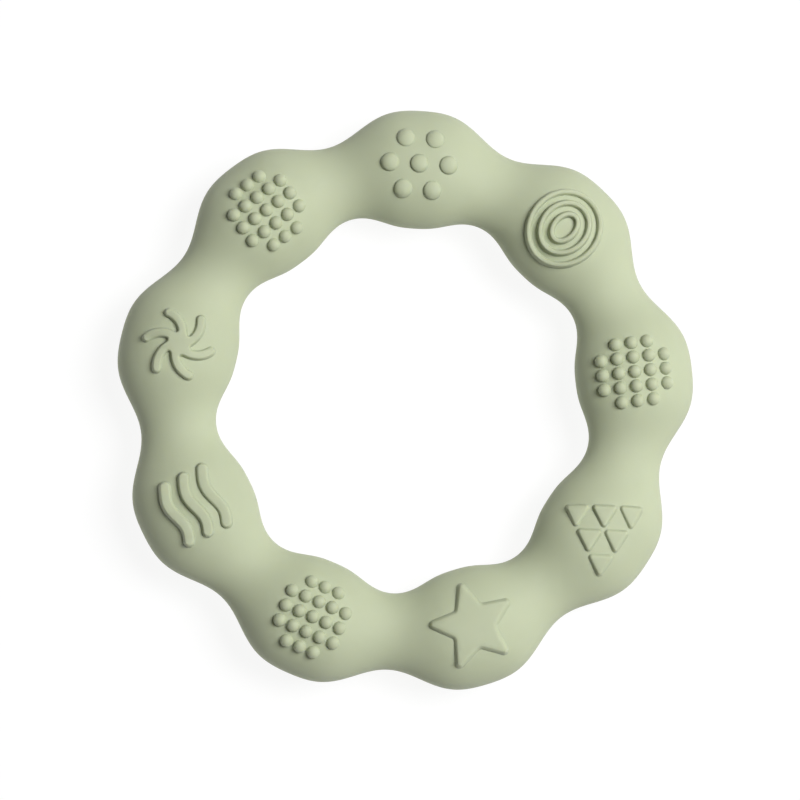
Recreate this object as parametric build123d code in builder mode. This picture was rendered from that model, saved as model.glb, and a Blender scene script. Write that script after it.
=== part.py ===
from build123d import *
from math import cos, radians, sin, sqrt
import os

# Teething ring: one closed ring of nine soft beads joined by slimmer necks, with a raised
# chewing pattern on the crown of every bead, front and back. All sizes in millimetres.
# Origin: centre of the ring on its mid-plane. +Z: up out of the ring. +Y: the seven-dot bead.

# Ring body
bead_count = 9
bead_outer_radius = 50.0
neck_outer_radius = 45.46
bead_inner_radius = 29.85
neck_inner_radius = 32.62
bead_half_thickness = 7.8
neck_half_thickness = 5.1
outer_fullness = 0.083      # how much rounder than a cosine the beads bulge, outside
inner_fullness = 0.037      # the same towards the hole
crown_fullness = 0.066      # the same up and down
flank_fullness = 0.015      # how much steeper the flanks are between a bead and its necks
bead_pitch = 360 / bead_count
section_step = bead_pitch / 6    # degrees between the lofted cross-sections
section_reach = 4                # sections each side of a bead's middle: one past the neck

# Raised patterns, drawn on each bead with x clockwise along the ring and y outwards
pattern_radius = 39.8       # radius of the circle that the patterns are centred on
pattern_bottom = 2.0        # height where the pattern prisms start, inside the body
pattern_top = 12.0          # height where they end, above the body
probe = 0.01                # distance over which the body's slope is taken
edge_round = 0.2            # rounding of the upper edges of stars, triangles and pinwheels
ridge_round = 0.42          # rounding of the upper edges of ovals and waves

button_radius = 1.55
button_height = 0.9
button_round = 0.5          # rounding of a button's rim
button_pitch = 5.05
button_count = 6            # buttons round the middle one

dome_radius = 1.13          # half balls, centred on the body's face
dome_pitch_along = 2.5
dome_pitch_across = 2.74

oval_width = 1.05
oval_height = 1.1                # how far each pattern stands proud of the body
oval_half_axes = [(6.02, 6.56), (3.97, 4.62), (1.88, 2.65)]    # along and across the ring

triangle_corner_radius = 2.85    # centre to corner, before rounding
triangle_round = 0.55
triangle_height = 0.7
triangle_rows = 3
triangle_pitch_along = 4.85
triangle_pitch_across = 4.0
triangle_top_row = 3.0           # how far out the first row's centres are

star_points = 5
star_outer_radius = 8.4
star_inner_radius = 3.83
star_height = 0.8
star_round = 0.75

wave_width = 2.0
wave_height = 0.95
wave_spacing = 3.6
wave_length = 10.4               # one full wave
wave_swing = 0.65
wave_shift = 0.4                 # how far the wave's zero lies before the pattern's middle
wave_lean = 0.035                # how much each wave turns towards the hole as it runs on
wave_ends = (-4.95, 5.2)

arm_count = 6
arm_width = 1.55
arm_height = 0.95
arm_first_angle = 94.0
arm_path = [(1.5, -1.26), (3.95, -1.28), (5.58, -0.29)]   # one arm's arc, tip near 0 degrees
hub_radius = 2.12


def swell(angle, fullness):
    """0 at a neck, 1 at a bead's middle; angle in degrees from the bead's middle."""
    turn = radians(angle * bead_count)
    swing = (1 + cos(turn)) / 2
    rounder = fullness * (1 - cos(2 * turn))
    return swing + rounder + flank_fullness * (cos(turn) - cos(3 * turn))


def blend(neck, bead, angle, fullness):
    """A body measure at an angle, between its value at the neck and at the bead."""
    return neck + (bead - neck) * swell(angle, fullness)


def section(angle):
    """Mid radius, half width and half thickness of the body's oval section at an angle."""
    outer = blend(neck_outer_radius, bead_outer_radius, angle, outer_fullness)
    inner = blend(neck_inner_radius, bead_inner_radius, angle, inner_fullness)
    half_thickness = blend(neck_half_thickness, bead_half_thickness, angle, crown_fullness)
    return (outer + inner) / 2, (outer - inner) / 2, half_thickness


def body_height(along, across):
    """Height of the body's upper face over a point of a bead's pattern."""
    place = Vector(pattern_radius + across, along, 0)
    mid_radius, half_width, half_thickness = section(Vector(1, 0, 0).get_angle(place))
    return half_thickness * sqrt(1 - ((place.length - mid_radius) / half_width) ** 2)


def radial_plane(angle):
    """Plane through the ring's axis: x outwards, y up."""
    outwards = (cos(radians(angle)), sin(radians(angle)), 0)
    sideways = (sin(radians(angle)), -cos(radians(angle)), 0)
    return Plane(origin=(0, 0, 0), x_dir=outwards, z_dir=sideways)


def pattern_plane(height):
    """Plane over the bead on +X: x clockwise along the ring, y outwards, z up."""
    return Plane(origin=(pattern_radius, 0, height), x_dir=(0, -1, 0), z_dir=(0, 0, 1))


# Body: one bead from neck to neck, lofted past both necks and cut there, then repeated
def lofted_bead(extra):
    """A bead on +X from neck to neck, its section grown all round by extra."""
    with BuildPart() as bead:
        for step in range(-section_reach, section_reach + 1):
            angle = step * section_step
            mid_radius, half_width, half_thickness = section(angle)
            with BuildSketch(radial_plane(angle)):
                with Locations((mid_radius, 0)):
                    Ellipse(half_width + extra, half_thickness + extra)
        loft()
        split(bisect_by=radial_plane(bead_pitch / 2), keep=Keep.TOP)
        split(bisect_by=radial_plane(-bead_pitch / 2), keep=Keep.BOTTOM)
    return bead.part


bead_body = lofted_bead(0)

with BuildPart() as ring_body:
    with PolarLocations(0, bead_count, start_angle=90):
        add(bead_body)
ring_body.part.label = "ring_body"
os.makedirs("parts", exist_ok=True)
export_step(ring_body.part, "parts/ring_body.step")


# Patterns: each is made on the bead on +X, and moved to its own bead afterwards
def raised(pattern, middle, height, rounding):
    """The pattern standing proud of the body by a height, its upper edges rounded."""
    with BuildPart() as relief:
        with BuildSketch(pattern_plane(pattern_bottom)):
            with Locations(middle):
                add(pattern)
        extrude(amount=pattern_top - pattern_bottom)
        add(lofted_bead(height), mode=Mode.INTERSECT)
        add(bead_body, mode=Mode.SUBTRACT)
        upper_faces = relief.faces().filter_by(lambda face: face.normal_at().Z > 0.5)
        fillet(upper_faces.edges(), rounding)
    return relief.part


def seven_dots(middle):
    """Six low round buttons about a middle one."""
    centres = [middle]
    for turn in range(button_count):
        angle = radians(turn * 360 / button_count)
        along = middle[0] + button_pitch * cos(angle)
        across = middle[1] + button_pitch * sin(angle)
        centres.append((along, across))
    with BuildPart() as button:
        Cylinder(button_radius, pattern_bottom, align=(Align.CENTER, Align.CENTER, Align.MAX))
        fillet(button.edges().sort_by(Axis.Z)[-1], button_round)
    with BuildPart() as buttons:
        for along, across in centres:
            height = body_height(along, across) + button_height
            with Locations(pattern_plane(height)):
                with Locations((along, across)):
                    add(button.part)
        add(bead_body, mode=Mode.SUBTRACT)
    return buttons.part


def fine_dots(middle):
    """Twenty-one small domes: five rows of five without the corners."""
    with BuildPart() as domes:
        for column in range(-2, 3):
            for row in range(-2, 3):
                if abs(column) + abs(row) < 4:
                    along = middle[0] + column * dome_pitch_along
                    across = middle[1] + row * dome_pitch_across
                    height = body_height(along, across)
                    with Locations(pattern_plane(height)):
                        with Locations((along, across)):
                            Sphere(dome_radius)
        add(bead_body, mode=Mode.SUBTRACT)
    return domes.part


def ovals(middle):
    """Three ridges, one inside the other, longer across the ring than along it."""
    with BuildSketch() as rings:
        for along, across in oval_half_axes:
            Ellipse(along + oval_width / 2, across + oval_width / 2)
            Ellipse(along - oval_width / 2, across - oval_width / 2, mode=Mode.SUBTRACT)
    return raised(rings.sketch, middle, oval_height, ridge_round)


def laid_on_body(corner, along, across):
    """A corner of a small outline lying on the body's slope at a place, as seen from above."""
    rise_along = body_height(along + probe, across) - body_height(along - probe, across)
    rise_across = body_height(along, across + probe) - body_height(along, across - probe)
    slope = Vector(rise_along, rise_across, 0) / (2 * probe)
    narrowing = (1 - 1 / sqrt(1 + slope.length ** 2)) / slope.length ** 2
    return Vector(along, across, 0) + corner - slope * corner.dot(slope) * narrowing


def triangles(middle):
    """Six small triangles pointing at the hole, in rows of three, two and one."""
    with BuildSketch() as group:
        for row in range(triangle_rows):
            for place in range(triangle_rows - row):
                centre_along = (place - (triangle_rows - 1 - row) / 2) * triangle_pitch_along
                along = middle[0] + centre_along
                across = middle[1] + triangle_top_row - row * triangle_pitch_across
                corners = []
                for turn in (-90, 30, 150):
                    corner = Vector(triangle_corner_radius, 0, 0).rotate(Axis.Z, turn)
                    corners.append(laid_on_body(corner, along, across))
                with BuildSketch(mode=Mode.PRIVATE) as triangle:
                    with BuildLine():
                        Polyline(*corners, close=True)
                    make_face()
                    fillet(triangle.vertices(), triangle_round)
                add(triangle.sketch)
    return raised(group.sketch, (0, 0), triangle_height, edge_round)


def star(middle):
    """Five-pointed star with one point towards the hole."""
    corners = []
    for step in range(2 * star_points):
        angle = radians(-90 + step * 180 / star_points)
        radius = star_inner_radius if step % 2 else star_outer_radius
        corners.append((radius * cos(angle), radius * sin(angle)))
    with BuildSketch() as outline:
        with BuildLine():
            Polyline(*corners, close=True)
        make_face()
        fillet(outline.vertices(), star_round)
    return raised(outline.sketch, middle, star_height, edge_round)


def wave_line(along):
    """Distance outwards of the middle wave's centreline."""
    swing = wave_swing * sin(radians(360 * (along + wave_shift) / wave_length))
    return swing - wave_lean * along


def waves(middle):
    """Three wavy strokes along the ring."""
    start, end = wave_ends
    points = []
    for step in range(9):
        along = start + (end - start) * step / 8
        points.append((along, wave_line(along)))
    with BuildSketch() as stroke:
        with BuildLine():
            Spline(*points)
        trace(line_width=wave_width)
        with Locations(points[0], points[-1]):
            Circle(wave_width / 2)
    with BuildSketch() as strokes:
        with GridLocations(0, wave_spacing, 1, 3):
            add(stroke.sketch)
    return raised(strokes.sketch, middle, wave_height, ridge_round)


def pinwheel(middle):
    """Six curved arms round a hub."""
    with BuildSketch() as arm:
        with BuildLine():
            ThreePointArc(*arm_path)
        trace(line_width=arm_width)
        with Locations(arm_path[-1]):
            Circle(arm_width / 2)
    with BuildSketch() as wheel:
        Circle(hub_radius)
        with PolarLocations(0, arm_count, start_angle=arm_first_angle):
            add(arm.sketch)
    return raised(wheel.sketch, middle, arm_height, edge_round)


# Clockwise from the seven-dot bead at +Y, each with the place of its pattern's middle
patterns = [
    ("seven_dots", seven_dots, (-0.33, 0.1)),
    ("ovals", ovals, (-0.33, -0.06)),
    ("fine_dots_1", fine_dots, (-0.05, -0.25)),
    ("triangles", triangles, (0.0, 0.3)),
    ("star", star, (-0.08, 0.2)),
    ("fine_dots_2", fine_dots, (-0.05, 0.2)),
    ("waves", waves, (-0.08, 0.54)),
    ("pinwheel", pinwheel, (-0.1, 0.2)),
    ("fine_dots_3", fine_dots, (-0.25, 0.2)),
]

for place, (name, pattern, middle) in enumerate(patterns):
    relief = pattern(middle)
    angle = 90 - place * bead_pitch
    with BuildPart() as front:
        with Locations(Location((0, 0, 0), (0, 0, angle))):
            add(relief)
    front.part.label = "front_" + name
    export_step(front.part, "parts/front_" + name + ".step")
    with BuildPart() as back:
        mirror(front.part, about=Plane.XY)
    back.part.label = "back_" + name
    export_step(back.part, "parts/back_" + name + ".step")
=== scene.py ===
import math

import bmesh
import bpy
import numpy as np
from mathutils import Matrix, Vector
from mathutils.geometry import delaunay_2d_cdt


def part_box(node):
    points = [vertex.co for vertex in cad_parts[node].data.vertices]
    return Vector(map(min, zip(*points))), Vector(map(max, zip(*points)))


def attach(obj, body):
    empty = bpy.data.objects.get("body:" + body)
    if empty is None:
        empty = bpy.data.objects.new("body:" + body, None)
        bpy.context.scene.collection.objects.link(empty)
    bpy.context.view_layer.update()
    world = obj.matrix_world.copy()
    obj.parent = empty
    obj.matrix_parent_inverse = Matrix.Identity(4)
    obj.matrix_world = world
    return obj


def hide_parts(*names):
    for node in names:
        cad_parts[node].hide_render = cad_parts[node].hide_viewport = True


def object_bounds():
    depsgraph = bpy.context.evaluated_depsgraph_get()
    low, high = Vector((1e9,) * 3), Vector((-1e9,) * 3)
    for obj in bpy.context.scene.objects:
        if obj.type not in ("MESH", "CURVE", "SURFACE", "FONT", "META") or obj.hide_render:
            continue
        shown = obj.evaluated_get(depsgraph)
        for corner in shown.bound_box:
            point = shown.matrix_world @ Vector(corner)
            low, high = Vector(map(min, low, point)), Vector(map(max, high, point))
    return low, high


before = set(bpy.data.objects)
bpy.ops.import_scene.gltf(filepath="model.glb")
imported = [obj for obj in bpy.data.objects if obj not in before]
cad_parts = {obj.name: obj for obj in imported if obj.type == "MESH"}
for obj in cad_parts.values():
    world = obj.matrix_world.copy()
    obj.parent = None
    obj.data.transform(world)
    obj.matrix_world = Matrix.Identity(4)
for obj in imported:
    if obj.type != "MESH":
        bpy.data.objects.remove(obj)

# Teething ring: nine soft beads in one closed ring, a raised chewing pattern on each bead's
# crown, front and back. Shapes are worked out in millimetres and scaled to metres as each
# mesh is made. Angles are in radians unless a name says otherwise.

MM = 0.001
cad_low, cad_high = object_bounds()
ring_low, ring_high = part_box("ring_body")

# Ring body
bead_count = 9
bead_pitch = 2 * math.pi / bead_count
bead_outer_radius = ring_high.y / MM
bead_half_thickness = ring_high.z / MM
neck_outer_radius = 45.46
bead_inner_radius = 29.85
neck_inner_radius = 32.62
neck_half_thickness = 5.1
outer_fullness = 0.083      # how much fuller than a plain cosine wave each profile swells
inner_fullness = 0.037
crown_fullness = 0.066
flank_fullness = 0.015
columns_per_bead = 60
section_points = 112
seam_height = 0.07          # the mould's parting line round the ring's mid-plane
seam_width = 0.1
near_seam = (0.02, 0.045, 0.08, 0.12)   # angles of the extra points either side of that line
ovality = 0.0068            # a soft ring never lies quite round: longer and narrower by this
long_way = math.radians(80)
bury = 0.4                  # how deep each pattern's foot goes into the body

# Raised patterns
pattern_radius = 39.8
outline_step = 0.16         # spacing of the points along a pattern's outline
outline_least = 24          # the fewest points that an outline has
circle_points = 48
corner_points = 12          # on the arc of a rounded corner
end_points = 16             # on the round end of a stroke
oval_points = 400           # on the middle line of an oval, of a wave and of a pinwheel's arm
wave_points = 80
arm_points = 40
cap_step = 0.6              # spacing of the points on a flat top
foot_fillet = 0.12          # reach of the mould's fillet where a pattern meets the body
fillet_share = 0.18         # how far up the pattern's side the fillet goes
fillet_rows = 5
crown_rows = 10
dome_rows = 25


def swell(angle, fullness):
    """0 at a neck, 1 at a bead's middle; angle from the bead's middle."""
    turn = angle * bead_count
    swing = (1 + np.cos(turn)) / 2
    rounder = fullness * (1 - np.cos(2 * turn))
    return swing + rounder + flank_fullness * (np.cos(turn) - np.cos(3 * turn))


def between(neck, bead, angle, fullness):
    """A body measure at an angle, between its value at the neck and at the bead."""
    return neck + (bead - neck) * swell(angle, fullness)


def section(angle):
    """Mid radius, half width and half thickness of the body's oval section at an angle."""
    outer = between(neck_outer_radius, bead_outer_radius, angle, outer_fullness)
    inner = between(neck_inner_radius, bead_inner_radius, angle, inner_fullness)
    half_thickness = between(neck_half_thickness, bead_half_thickness, angle, crown_fullness)
    return (outer + inner) / 2, (outer - inner) / 2, half_thickness


def body_height(points):
    """Height of the body's upper face over points of a bead's pattern (along, across)."""
    along, across = points[:, 0], points[:, 1] + pattern_radius
    mid_radius, half_width, half_thickness = section(np.arctan2(along, across))
    offset = (np.hypot(along, across) - mid_radius) / half_width
    return half_thickness * np.sqrt(np.clip(1 - offset ** 2, 0, 1))


# Meshes
def grid_faces(rows, columns, closed=False):
    """Quads between rows of points; every row is a closed loop, and closed joins the last
    row to the first."""
    row, column = np.meshgrid(np.arange(rows if closed else rows - 1), np.arange(columns),
                              indexing="ij")
    row, column = row.ravel(), column.ravel()
    next_row, next_column = (row + 1) % rows, (column + 1) % columns
    corners = (row * columns + column, row * columns + next_column,
               next_row * columns + next_column, next_row * columns + column)
    return np.stack(corners, axis=1).tolist()


def inside(points, loop):
    """Which points lie inside a closed loop."""
    x, y = points[:, :1], points[:, 1:]
    ax, ay = loop[:, 0], loop[:, 1]
    bx, by = np.roll(ax, -1), np.roll(ay, -1)
    spans = (ay > y) != (by > y)
    with np.errstate(divide="ignore", invalid="ignore"):
        crossing = ax + (y - ay) * (bx - ax) / (by - ay)
    return (spans & (x < crossing)).sum(axis=1) % 2 == 1


def cap(loop):
    """Points inside a loop, and the triangles that fill it; the loop's points come first."""
    fill_inside, merge_distance = 1, 1e-6
    low, high = loop.min(axis=0), loop.max(axis=0)
    x, y = np.meshgrid(np.arange(low[0], high[0], cap_step), np.arange(low[1], high[1], cap_step))
    points = np.stack((x.ravel(), y.ravel()), axis=1)
    points = points[inside(points, loop)]
    gap = np.linalg.norm(points[:, None] - loop[None], axis=2).min(axis=1)
    points = points[gap > cap_step / 2]
    every = [Vector(point) for point in np.concatenate((loop, points)).tolist()]
    result = delaunay_2d_cdt(every, [], [list(range(len(loop)))], fill_inside, merge_distance)
    source = [origin[0] for origin in result[3]]
    triangles = [[source[corner] for corner in face] for face in result[2]]
    return points, triangles


def make_piece(name, vertices, faces, nodes):
    """A smooth silicone mesh in place of CAD nodes, its faces turned outwards."""
    axis = np.array((math.cos(long_way), math.sin(long_way), 0))
    stretch = np.diag((1 - ovality, 1 - ovality, 1)) + 2 * ovality * np.outer(axis, axis)
    mesh = bpy.data.meshes.new(name)
    mesh.from_pydata((vertices @ stretch * MM).tolist(), [], faces)
    shell = bmesh.new()
    shell.from_mesh(mesh)
    bmesh.ops.recalc_face_normals(shell, faces=shell.faces)
    shell.to_mesh(mesh)
    shell.free()
    mesh.shade_smooth()
    mesh.materials.append(silicone)
    piece = bpy.data.objects.new(name, mesh)
    bpy.context.scene.collection.objects.link(piece)
    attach(piece, "root")
    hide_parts(*nodes)


# Outlines: closed loops of points (along, across), running anticlockwise
def evenly(loop, step):
    """The same closed loop with evenly spaced points."""
    closed = np.concatenate((loop, loop[:1]))
    length = np.concatenate(([0], np.cumsum(np.linalg.norm(np.diff(closed, axis=0), axis=1))))
    count = max(outline_least, round(length[-1] / step))
    places = np.linspace(0, length[-1], count, endpoint=False)
    return np.stack([np.interp(places, length, closed[:, axis]) for axis in (0, 1)], axis=1)


def softened(loop, radius):
    """The loop with its sharp corners eased over about a radius."""
    steps_per_radius = 8
    fine = evenly(loop, radius / steps_per_radius)
    shifts = np.arange(-3 * steps_per_radius, 3 * steps_per_radius + 1)
    weights = np.exp(-0.5 * (shifts / steps_per_radius) ** 2)
    total = sum(weight * np.roll(fine, shift, axis=0) for shift, weight in zip(shifts, weights))
    return total / weights.sum()


def polar(radius, degrees):
    """The point at a distance and an angle from the middle."""
    angle = math.radians(degrees)
    return radius * math.cos(angle), radius * math.sin(angle)


def circle(radius):
    """A circle about the middle."""
    angle = np.linspace(0, 2 * math.pi, circle_points, endpoint=False)
    return radius * np.stack((np.cos(angle), np.sin(angle)), axis=1)


def rounded_polygon(corners, radius):
    """A polygon with an arc in every corner, hollow corners too."""
    corners = np.array(corners, float)
    points = []
    for before, corner, after in zip(np.roll(corners, 1, 0), corners, np.roll(corners, -1, 0)):
        back = (before - corner) / np.linalg.norm(before - corner)
        on = (after - corner) / np.linalg.norm(after - corner)
        half = math.acos(np.clip(back @ on, -1, 1)) / 2
        bisector = (back + on) / np.linalg.norm(back + on)
        centre = corner + bisector * radius / math.sin(half)
        start = corner + back * radius / math.tan(half) - centre
        end = corner + on * radius / math.tan(half) - centre
        sweep = math.atan2(start[0] * end[1] - start[1] * end[0], start @ end)
        for part in np.linspace(0, sweep, corner_points):
            points.append(centre + (start[0] * math.cos(part) - start[1] * math.sin(part),
                                    start[0] * math.sin(part) + start[1] * math.cos(part)))
    return np.array(points)


def stroke(line, width):
    """The outline of a round-ended stroke along an open line."""
    tangent = np.gradient(line, axis=0)
    tangent /= np.linalg.norm(tangent, axis=1)[:, None]
    side = np.stack((tangent[:, 1], -tangent[:, 0]), axis=1) * width / 2
    ends = []
    for end, spoke in ((line[-1], side[-1]), (line[0], -side[0])):
        turn = np.linspace(0, math.pi, end_points)[1:-1, None]
        across = np.array((-spoke[1], spoke[0]))
        ends.append(end + spoke * np.cos(turn) + across * np.sin(turn))
    return np.concatenate((line + side, ends[0], (line - side)[::-1], ends[1]))


def laid_on_body(loop, centre):
    """A small outline moved to a centre and narrowed down the slope, as one lying there is."""
    probe = 0.01            # how far from the centre the slope is measured
    least_steepness = 0.01  # keeps the division below safe where the body is level
    rise = body_height(centre + probe * np.array(((1, 0), (-1, 0), (0, 1), (0, -1))))
    slope = np.array((rise[0] - rise[1], rise[2] - rise[3])) / (2 * probe)
    steepness = slope @ slope
    narrowing = (1 - 1 / math.sqrt(1 + steepness)) / max(steepness, least_steepness)
    return centre + loop - narrowing * np.outer(loop @ slope, slope)


def crown(shoulder, fullness):
    """How a pattern rises from the body: (distance inside the outline, share of the height)
    in rows, first the mould's fillet at the foot, then the rounded shoulder."""
    rows = []
    for turn in np.linspace(0, math.pi / 2, fillet_rows):
        rows.append((foot_fillet * (math.sin(turn) - 1), fillet_share * (1 - math.cos(turn))))
    for turn in np.linspace(0, math.pi / 2, crown_rows)[1:]:
        inwards = 1 - math.cos(turn) ** (2 / fullness)
        upwards = math.sin(turn) ** (2 / fullness)
        rows.append((shoulder * inwards, fillet_share + (1 - fillet_share) * upwards))
    return rows


def inset(loop, depth):
    """The loop moved inwards by a depth along its normals."""
    tangent = np.roll(loop, -1, axis=0) - np.roll(loop, 1, axis=0)
    tangent /= np.linalg.norm(tangent, axis=1)[:, None]
    return loop + depth * np.stack((-tangent[:, 1], tangent[:, 0]), axis=1)


def raised(points, share, top):
    """Pattern points at a share of the way up from the body, as along, across and up. The top
    is (height, flatness, level): height above the body where that is at the level, and away
    from there flatter than the body."""
    height, flatness, level = top
    base = body_height(points)
    up = base + share * (height + flatness * (level - base))
    return np.concatenate((points, up[:, None]), axis=1)


def island(loop, rows, top):
    """A closed shell over one outline: buried foot, side and filled top."""
    height, flatness, level = top
    level = np.broadcast_to(level, len(loop))
    levels = [raised(inset(loop, depth), share, (height, flatness, level))
              for depth, share in rows]
    levels.insert(0, levels[0] - (0, 0, bury))
    vertices = np.concatenate(levels)
    faces = grid_faces(len(levels), len(loop))
    for row, share, drop in ((0, 0, bury), (len(levels) - 1, 1, 0)):
        edge = levels[row][:, :2]
        points, triangles = cap(edge)
        nearest = np.linalg.norm(points[:, None] - edge[None], axis=2).argmin(axis=1)
        filling = raised(points, share, (height, flatness, level[nearest])) - (0, 0, drop)
        first, extra = row * len(loop), len(vertices) - len(loop)
        vertices = np.concatenate((vertices, filling))
        for triangle in triangles:
            faces.append([k + (first if k < len(loop) else extra) for k in triangle])
    return vertices, faces


def ridge(loop, width, rows, top):
    """A closed shell over a ridge that runs round a loop."""
    outer = [(width / 2 - depth, share) for depth, share in rows]
    inner = [(-offset, share) for offset, share in outer[::-1]]
    levels = [raised(inset(loop, -offset), share, top) for offset, share in outer + inner]
    levels = [levels[0] - (0, 0, bury)] + levels + [levels[-1] - (0, 0, bury)]
    return np.concatenate(levels), grid_faces(len(levels), len(loop), closed=True)


# Patterns: each returns a list of closed shells (vertices, faces)
def dome(radius, centre):
    """A ball centred on the body's face, and so half sunk in it."""
    turn = np.linspace(0, math.pi, dome_rows)[1:-1, None, None]
    plan = centre + circle(radius) * np.sin(turn)
    level = body_height(np.array([centre]))[0]
    up = level + radius * np.cos(turn) * np.ones((1, plan.shape[1], 1))
    ends = [(*centre, level + radius), (*centre, level - radius)]
    vertices = np.concatenate((np.concatenate((plan, up), axis=2).reshape(-1, 3), ends))
    columns, last = plan.shape[1], len(plan) * plan.shape[1]
    faces = grid_faces(len(plan), columns)
    for first, end in ((0, last), (last - columns, last + 1)):
        faces += [[first + k, first + (k + 1) % columns, end] for k in range(columns)]
    return vertices, faces


def seven_dots(middle):
    """One button with six about it."""
    button_radius, outer_count, outer_pitch, height, flatness = 1.53, 6, 5.05, 0.9, 0.7
    rows = crown(shoulder=1.48, fullness=2)
    centres = [np.array(middle)]
    for turn in range(outer_count):
        centres.append(centres[0] + polar(outer_pitch, turn * 360 / outer_count))
    return [island(circle(button_radius) + centre, rows,
                   (height, flatness, body_height(centre[None]))) for centre in centres]


def fine_dots(middle):
    """Five rows of five domes, less the four at the corners."""
    dome_radius, pitch_along, pitch_across = 1.13, 2.46, 2.68
    shells = []
    for column in range(-2, 3):
        for row in range(-2, 3):
            if abs(column) + abs(row) < 4:
                centre = (middle[0] + column * pitch_along, middle[1] + row * pitch_across)
                shells.append(dome(dome_radius, centre))
    return shells


def ovals(middle):
    """Three ridges, one inside the other; the pairs are half axes of their middle lines."""
    width, height, flatness = 1.04, 1.1, 1
    rows = crown(shoulder=0.38, fullness=1.9)
    angle = np.linspace(0, 2 * math.pi, oval_points, endpoint=False)
    shells = []
    for along, across in ((5.93, 6.46), (3.91, 4.55), (1.85, 2.61)):
        loop = np.stack((along * np.cos(angle), across * np.sin(angle)), axis=1)
        loop = evenly(loop, outline_step) + middle
        shells.append(ridge(loop, width, rows, (height, flatness, body_height(loop))))
    return shells


def triangles(middle):
    """Rows of three, two and one, all pointing at the ring's middle."""
    corner_radius, rounding, height, flatness = 2.88, 0.56, 0.7, 0.4
    pitch_along, pitch_across, top_row = 4.85, 4, 3
    rows = crown(shoulder=0.38, fullness=1.3)
    corners = [polar(corner_radius, 120 * turn - 90) for turn in range(3)]
    loop = evenly(rounded_polygon(corners, rounding), outline_step)
    shells = []
    for row in range(3):
        for place in range(3 - row):
            centre = (middle[0] + (place - (2 - row) / 2) * pitch_along,
                      middle[1] + top_row - row * pitch_across)
            level = body_height(np.array([centre]))
            shells.append(island(laid_on_body(loop, centre), rows, (height, flatness, level)))
    return shells


def star(middle):
    """Five points, one of them towards the ring's middle."""
    tip_count, tip_radius, hollow_radius, rounding = 5, 8.65, 3.95, 0.75
    height, flatness = 0.62, 0.33
    corners = []
    for turn in range(tip_count):
        corners.append(polar(tip_radius, turn * 360 / tip_count - 90))
        corners.append(polar(hollow_radius, (turn + 0.5) * 360 / tip_count - 90))
    loop = evenly(rounded_polygon(corners, rounding), outline_step) + middle
    level = body_height(np.array([middle]))
    return [island(loop, crown(shoulder=0.48, fullness=1.25), (height, flatness, level))]


def waves(middle):
    """Three wavy strokes side by side."""
    width, spacing, wave_length, swing, lean = 2, 3.54, 10.2, 0.65, 0.035
    start, end, phase, height, flatness = -4.87, 5.12, 0.4, 0.95, 1
    along = np.linspace(start, end, wave_points)
    across = swing * np.sin(2 * math.pi * (along + phase) / wave_length) - lean * along
    rows = crown(shoulder=0.44, fullness=1.8)
    shells = []
    for shift in (spacing, 0, -spacing):
        loop = stroke(np.stack((along, across + shift), axis=1), width)
        loop = evenly(loop, outline_step) + middle
        level = body_height(inset(loop, width / 2))
        shells.append(island(loop, rows, (height, flatness, level)))
    return shells


def pinwheel(middle):
    """Six arms round a hub, each bent along an arc. One arm's outline outside the hub is turned
    to every arm's place; where two neighbours meet, the corner is eased."""
    hub_radius, arm_width, arm_count, first_arm = 2.15, 1.65, 6, math.radians(94)
    bend_radius, bend_centre, bend_start, bend_end = 4.13, np.array((2.86, 2.62)), -118, -45
    easing, shrink, height, flatness = 0.16, 0.965, 0.95, 0.8
    bend = np.radians(np.linspace(bend_start, bend_end, arm_points))
    line = bend_centre + bend_radius * np.stack((np.cos(bend), np.sin(bend)), axis=1)
    arm = stroke(line, arm_width)
    proud = np.linalg.norm(arm, axis=1) > hub_radius
    root = np.flatnonzero(~proud)[-1]
    arm = np.roll(arm, -root, axis=0)[np.roll(proud, -root)]
    outline = []
    for turn in range(arm_count):
        angle = first_arm + turn * 2 * math.pi / arm_count
        spin = np.array(((math.cos(angle), math.sin(angle)), (-math.sin(angle), math.cos(angle))))
        outline.append(arm @ spin)
    loop = evenly(softened(np.concatenate(outline), easing), outline_step) * shrink + middle
    level = body_height(inset(loop, arm_width / 2))
    return [island(loop, crown(shoulder=0.4, fullness=1.8), (height, flatness, level))]


def join(shells):
    """One list of vertices and faces from several shells."""
    vertices, faces, first = [], [], 0
    for points, polygons in shells:
        vertices.append(points)
        faces += [[corner + first for corner in polygon] for polygon in polygons]
        first += len(points)
    return np.concatenate(vertices), faces


def on_bead(vertices, place, side):
    """Pattern points moved to their bead, counted clockwise from +Y; side 1 front, -1 back."""
    angle = math.pi / 2 - place * bead_pitch
    along, across, up = vertices.T
    across = across + pattern_radius
    x = across * math.cos(angle) + along * math.sin(angle)
    y = across * math.sin(angle) - along * math.cos(angle)
    return np.stack((x, y, side * up), axis=1)


def body_mesh():
    """The whole ring body: oval sections all round, with the parting line at the mid-plane."""
    turn = np.linspace(0, 2 * math.pi, section_points, endpoint=False)
    extra = [base + sign * np.array(near_seam) for base in (0, math.pi) for sign in (1, -1)]
    turn = np.unique(np.concatenate([turn] + extra) % (2 * math.pi))
    columns = bead_count * columns_per_bead
    angle = np.linspace(0, 2 * math.pi, columns, endpoint=False)[:, None]
    mid_radius, half_width, half_thickness = section(angle)
    up = half_thickness * np.sin(turn)
    seam = seam_height * np.exp(-(up / seam_width) ** 2) * np.sign(np.cos(turn))
    radius = mid_radius + half_width * np.cos(turn) + seam
    direction = angle + math.pi / 2
    vertices = np.stack((radius * np.cos(direction), radius * np.sin(direction), up), axis=2)
    return vertices.reshape(-1, 3), grid_faces(columns, len(turn), closed=True)


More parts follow.
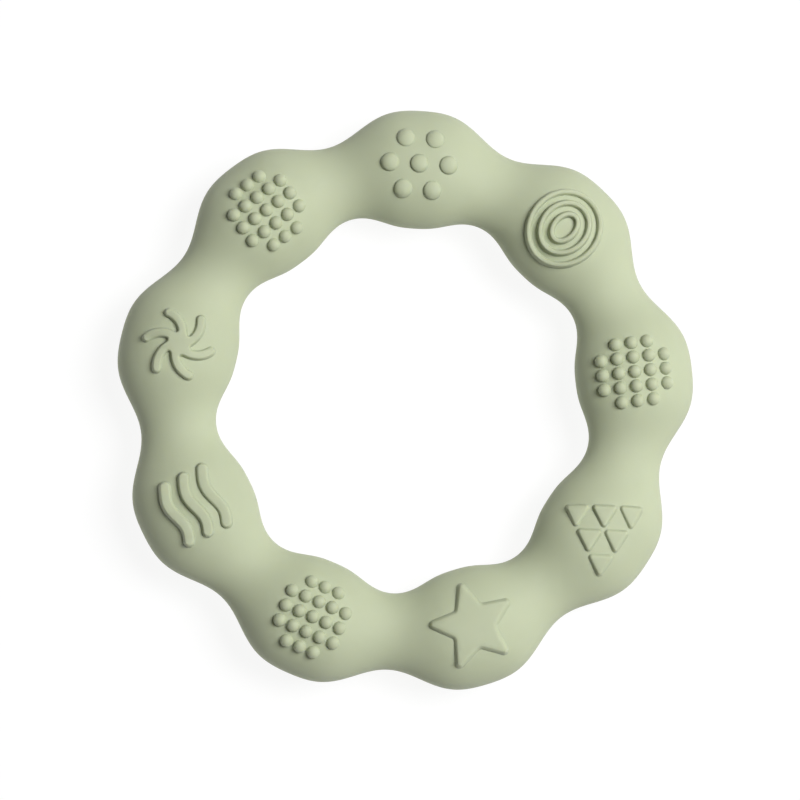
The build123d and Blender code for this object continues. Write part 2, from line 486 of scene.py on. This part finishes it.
# Material
def silicone_material():
    """Matte sage-green silicone: a satin skin with a fine mould grain and faint mottling."""
    darker_sage, lighter_sage = (0.455, 0.5, 0.336, 1), (0.475, 0.52, 0.351, 1)
    material = bpy.data.materials.new("silicone")
    material.use_nodes = True
    nodes, links = material.node_tree.nodes, material.node_tree.links
    shader = nodes["Principled BSDF"]
    shader.inputs["Specular IOR Level"].default_value = 0.8
    shader.inputs["Subsurface Weight"].default_value = 0.25
    shader.inputs["Subsurface Radius"].default_value = (1.0, 0.85, 0.5)
    shader.inputs["Subsurface Scale"].default_value = 0.0012
    shader.inputs["Sheen Weight"].default_value = 0.04
    shader.inputs["Sheen Roughness"].default_value = 0.4

    place = nodes.new("ShaderNodeTexCoord")

    mottle = nodes.new("ShaderNodeTexNoise")
    mottle.inputs["Scale"].default_value = 90
    mottle.inputs["Detail"].default_value = 4
    links.new(place.outputs["Object"], mottle.inputs["Vector"])
    tint = nodes.new("ShaderNodeValToRGB")
    tint.color_ramp.elements[0].position = 0.3
    tint.color_ramp.elements[0].color = darker_sage
    tint.color_ramp.elements[1].position = 0.7
    tint.color_ramp.elements[1].color = lighter_sage
    links.new(mottle.outputs["Fac"], tint.inputs["Fac"])
    links.new(tint.outputs["Color"], shader.inputs["Base Color"])

    grain = nodes.new("ShaderNodeTexNoise")
    grain.inputs["Scale"].default_value = 5000
    grain.inputs["Detail"].default_value = 2
    links.new(place.outputs["Object"], grain.inputs["Vector"])
    wear = nodes.new("ShaderNodeTexNoise")
    wear.inputs["Scale"].default_value = 160
    wear.inputs["Detail"].default_value = 5
    links.new(place.outputs["Object"], wear.inputs["Vector"])
    satin = nodes.new("ShaderNodeMapRange")
    satin.inputs["To Min"].default_value = 0.68
    satin.inputs["To Max"].default_value = 0.84
    links.new(wear.outputs["Fac"], satin.inputs["Value"])
    links.new(satin.outputs["Result"], shader.inputs["Roughness"])

    ripple = nodes.new("ShaderNodeBump")
    ripple.inputs["Strength"].default_value = 0.25
    ripple.inputs["Distance"].default_value = 0.00012
    links.new(wear.outputs["Fac"], ripple.inputs["Height"])
    skin = nodes.new("ShaderNodeBump")
    skin.inputs["Strength"].default_value = 0.3
    skin.inputs["Distance"].default_value = 0.00003
    links.new(grain.outputs["Fac"], skin.inputs["Height"])
    links.new(ripple.outputs["Normal"], skin.inputs["Normal"])
    links.new(skin.outputs["Normal"], shader.inputs["Normal"])
    return material


silicone = silicone_material()

# The ring
make_piece("ring", *body_mesh(), ["ring_body"])

# Each pattern with its middle's place on the bead, in the order of the beads
patterns = [
    ("seven_dots", seven_dots, (-0.23, 0.25)),
    ("ovals", ovals, (-0.27, -0.1)),
    ("fine_dots_1", fine_dots, (-0.07, -0.37)),
    ("triangles", triangles, (0.04, 0.22)),
    ("star", star, (-0.02, 0.23)),
    ("fine_dots_2", fine_dots, (0.02, 0.26)),
    ("waves", waves, (-0.03, 0.55)),
    ("pinwheel", pinwheel, (0, 0.22)),
    ("fine_dots_3", fine_dots, (-0.18, 0.2)),
]
for place, (name, shells, middle) in enumerate(patterns):
    vertices, faces = join(shells(middle))
    for side, prefix in ((1, "front_"), (-1, "back_")):
        make_piece(prefix + name + "_relief", on_bead(vertices, place, side), faces,
                   [prefix + name])

# Floor, light and camera
roll = math.radians(3.3)    # the ring lies turned clockwise by this, seen from the camera


def plain_material(name, colour, glow):
    """A flat colour that also shines white."""
    material = bpy.data.materials.new(name)
    material.use_nodes = True
    shader = material.node_tree.nodes["Principled BSDF"]
    shader.inputs["Base Color"].default_value = (*colour, 1)
    shader.inputs["Roughness"].default_value = 0.9
    shader.inputs["Emission Color"].default_value = (1, 1, 1, 1)
    shader.inputs["Emission Strength"].default_value = glow
    return material


def add_floor():
    """A flat floor that the ring rests on; its glow keeps it near white in the shade."""
    half, level = 1.5, cad_low.z     # half its side and its height, in metres
    corners = [(-half, -half, level), (half, -half, level), (half, half, level),
               (-half, half, level)]
    mesh = bpy.data.meshes.new("floor")
    mesh.from_pydata(corners, [], [(0, 1, 2, 3)])
    mesh.materials.append(plain_material("floor", colour=(0.1, 0.1, 0.1), glow=0.9))
    floor = bpy.data.objects.new("floor", mesh)
    bpy.context.scene.collection.objects.link(floor)


def add_softbox(name, azimuth, elevation, distance, size, power):
    """A square area light aimed at the ring, its azimuth anticlockwise from +X; in metres and
    watts."""
    light = bpy.data.lights.new(name, "AREA")
    light.shape = "SQUARE"
    light.size = size
    light.energy = power
    softbox = bpy.data.objects.new(name, light)
    bpy.context.scene.collection.objects.link(softbox)
    away = Vector((math.cos(elevation) * math.cos(azimuth),
                   math.cos(elevation) * math.sin(azimuth), math.sin(elevation)))
    softbox.location = away * distance
    softbox.rotation_euler = away.to_track_quat("Z", "Y").to_euler()


def add_camera():
    """Nearly overhead, leaning a little to the lower left, with a long lens."""
    distance, lean, lean_towards = 0.985, math.radians(5.7), math.radians(239)
    frame_width = 0.1369     # width of the view at the ring, in metres
    aim_right, aim_up = -0.00072, 0.00041    # the point looked at, from the ring's middle
    right = Vector((math.cos(roll), math.sin(roll), 0))
    up = Vector((-math.sin(roll), math.cos(roll), 0))
    sideways = right * math.cos(lean_towards) + up * math.sin(lean_towards)
    away = sideways * math.sin(lean) + Vector((0, 0, math.cos(lean)))
    aim = right * aim_right + up * aim_up
    right = up.cross(away).normalized()
    up = away.cross(right)
    data = bpy.data.cameras.new("camera")
    data.sensor_width = 36
    data.lens = data.sensor_width * distance / frame_width
    camera = bpy.data.objects.new("camera", data)
    bpy.context.scene.collection.objects.link(camera)
    camera.location = aim + away * distance
    camera.rotation_euler = Matrix((right, up, away)).transposed().to_euler()
    bpy.context.scene.camera = camera


add_floor()
add_softbox("key", azimuth=roll + math.radians(14), elevation=math.radians(62),
            distance=1.2, size=0.6, power=17.5)
add_softbox("side", azimuth=roll + math.radians(10), elevation=math.radians(8),
            distance=1.2, size=0.5, power=1.2)
add_camera()

world = bpy.data.worlds.new("studio")
world.use_nodes = True
background = world.node_tree.nodes["Background"]
background.inputs["Color"].default_value = (1, 1, 1, 1)
background.inputs["Strength"].default_value = 0.03
bpy.context.scene.world = world
bpy.context.scene.view_settings.view_transform = "Standard"
